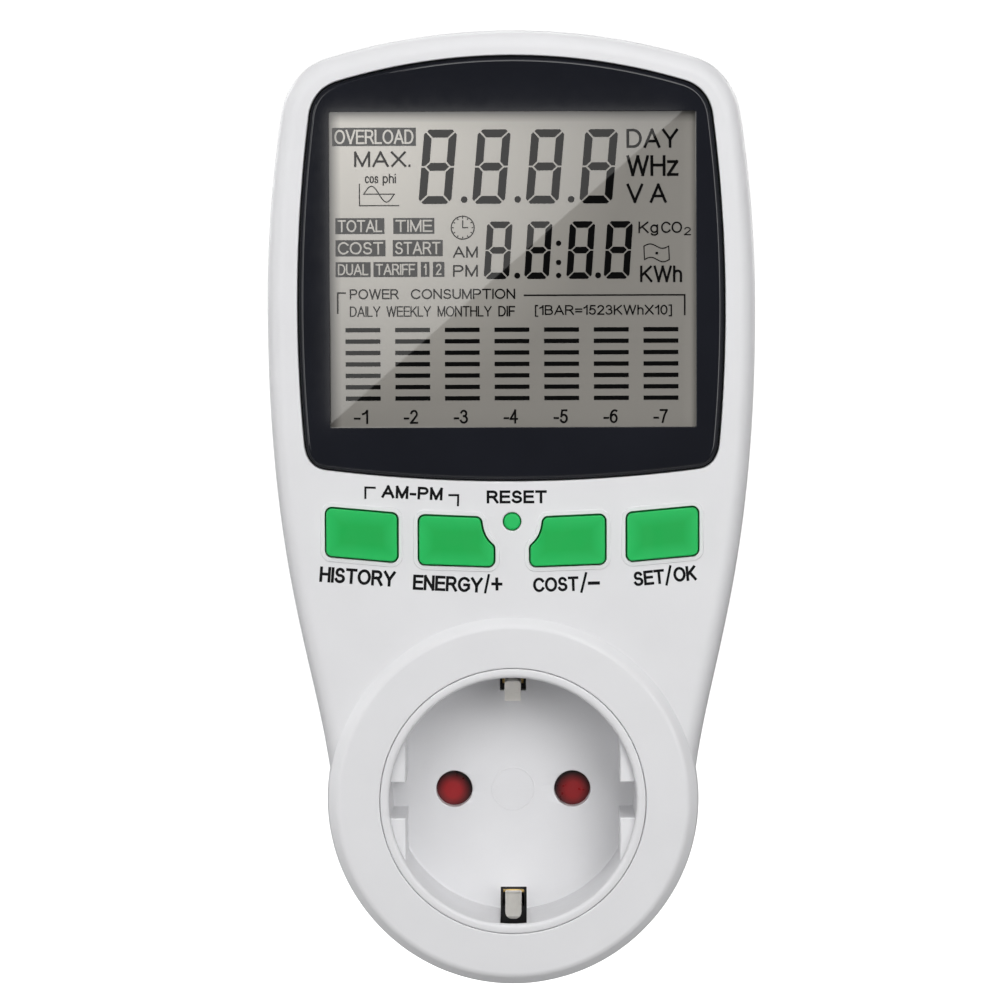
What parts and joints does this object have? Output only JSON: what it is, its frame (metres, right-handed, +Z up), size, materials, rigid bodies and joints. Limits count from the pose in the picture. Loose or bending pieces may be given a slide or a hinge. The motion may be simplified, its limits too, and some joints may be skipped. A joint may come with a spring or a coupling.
{
  "type": "plug-in power meter",
  "caption": "Plug-in power meter: white wall-plug housing with a display, press keys, a socket in front and a plug behind.",
  "frame": {"origin": "middle of the plug's flat end face, on the shared axis of plug and socket", "axes": "+Y towards the wall, along the plug pins; +Z up, towards the display; +X to the right seen from the front"},
  "size_m": [0.0768, 0.0757, 0.1506],
  "materials": {
    "white_plastic": "satin",
    "grey_plastic": "matte",
    "black_plastic": "matte",
    "black_gloss": "gloss",
    "green_plastic": "satin",
    "red_plastic": "satin",
    "rubber": "matte",
    "lcd_glass": "satin",
    "light_guide": "satin",
    "board": "satin",
    "nickel": "satin",
    "brass": "satin",
    "steel": "satin",
    "manganin": "satin",
    "capacitor_yellow": "satin",
    "capacitor_black": "satin",
    "varistor_blue": "satin",
    "wire_brown": "satin",
    "wire_blue": "satin",
    "ceramic": "matte"
  },
  "bodies": {
    "housing": {"front_shell": "white_plastic", "rear_shell": "white_plastic", "case_screw_high_left": "steel", "case_screw_high_right": "steel", "case_screw_low_left": "steel", "case_screw_low_right": "steel", "display_window": "black_gloss", "lcd_frame": "black_plastic", "lcd_glass": "lcd_glass", "light_guide": "light_guide", "contact_strip": "rubber", "display_board": "board", "board_screw_left": "steel", "board_screw_right": "steel", "controller_chip": "black_plastic", "crystal": "steel", "key_mat": "rubber", "socket_insert": "white_plastic", "shutter_spring": "steel", "contact_carrier": "black_plastic", "contact_live": "brass", "contact_neutral": "brass", "neutral_link": "brass", "current_shunt": "manganin", "pin_holder": "grey_plastic", "plug_body": "white_plastic", "plug_pin_live": "nickel", "plug_pin_neutral": "nickel", "plug_earth_upper": "nickel", "plug_earth_lower": "nickel", "earth_bridge": "brass", "earth_guide_upper": "black_plastic", "earth_guide_lower": "black_plastic", "power_board": "board", "mains_capacitor": "capacitor_yellow", "bulk_capacitor": "capacitor_black", "varistor": "varistor_blue", "fusible_resistor": "ceramic", "metering_chip": "black_plastic", "board_header": "black_plastic", "backup_battery": "varistor_blue", "lead_neutral": "wire_blue", "lead_live": "wire_brown"},
    "key_history": {"key_history": "green_plastic"},
    "key_energy": {"key_energy": "green_plastic"},
    "key_cost": {"key_cost": "green_plastic"},
    "key_set": {"key_set": "green_plastic"},
    "reset_button": {"reset_button": "green_plastic"},
    "shutter": {"shutter": "red_plastic"},
    "earth_clip_upper": {"earth_clip_upper": "nickel"},
    "earth_clip_lower": {"earth_clip_lower": "nickel"}
  },
  "joints": [
    {"name": "key_history_press", "type": "slide", "parent": "housing", "child": "key_history", "axis": [0, 1, 0], "range_m": [0, 0.001], "stiffness_N_per_m": 1200, "deforming": ["key_mat"]},
    {"name": "key_energy_press", "type": "slide", "parent": "housing", "child": "key_energy", "axis": [0, 1, 0], "range_m": [0, 0.001], "stiffness_N_per_m": 1200, "deforming": ["key_mat"]},
    {"name": "key_cost_press", "type": "slide", "parent": "housing", "child": "key_cost", "axis": [0, 1, 0], "range_m": [0, 0.001], "stiffness_N_per_m": 1200, "deforming": ["key_mat"]},
    {"name": "key_set_press", "type": "slide", "parent": "housing", "child": "key_set", "axis": [0, 1, 0], "range_m": [0, 0.001], "stiffness_N_per_m": 1200, "deforming": ["key_mat"]},
    {"name": "reset_button_press", "type": "slide", "parent": "housing", "child": "reset_button", "axis": [0, 1, 0], "range_m": [0, 0.0008], "stiffness_N_per_m": 900, "deforming": ["key_mat"]},
    {"name": "shutter_turn", "type": "hinge", "parent": "housing", "child": "shutter", "pos_m": [0, -0.0357, 0], "axis": [0, 1, 0], "range_deg": [0, 42], "stiffness_Nm_per_rad": 0.004, "deforming": ["shutter_spring"]},
    {"name": "earth_clip_upper_flex", "type": "hinge", "parent": "housing", "child": "earth_clip_upper", "pos_m": [0, -0.0332, 0.018], "axis": [-1, 0, 0], "range_deg": [0, 5], "stiffness_Nm_per_rad": 0.9},
    {"name": "earth_clip_lower_flex", "type": "hinge", "parent": "housing", "child": "earth_clip_lower", "pos_m": [0, -0.0332, -0.018], "axis": [1, 0, 0], "range_deg": [0, 5], "stiffness_Nm_per_rad": 0.9}
  ]
}
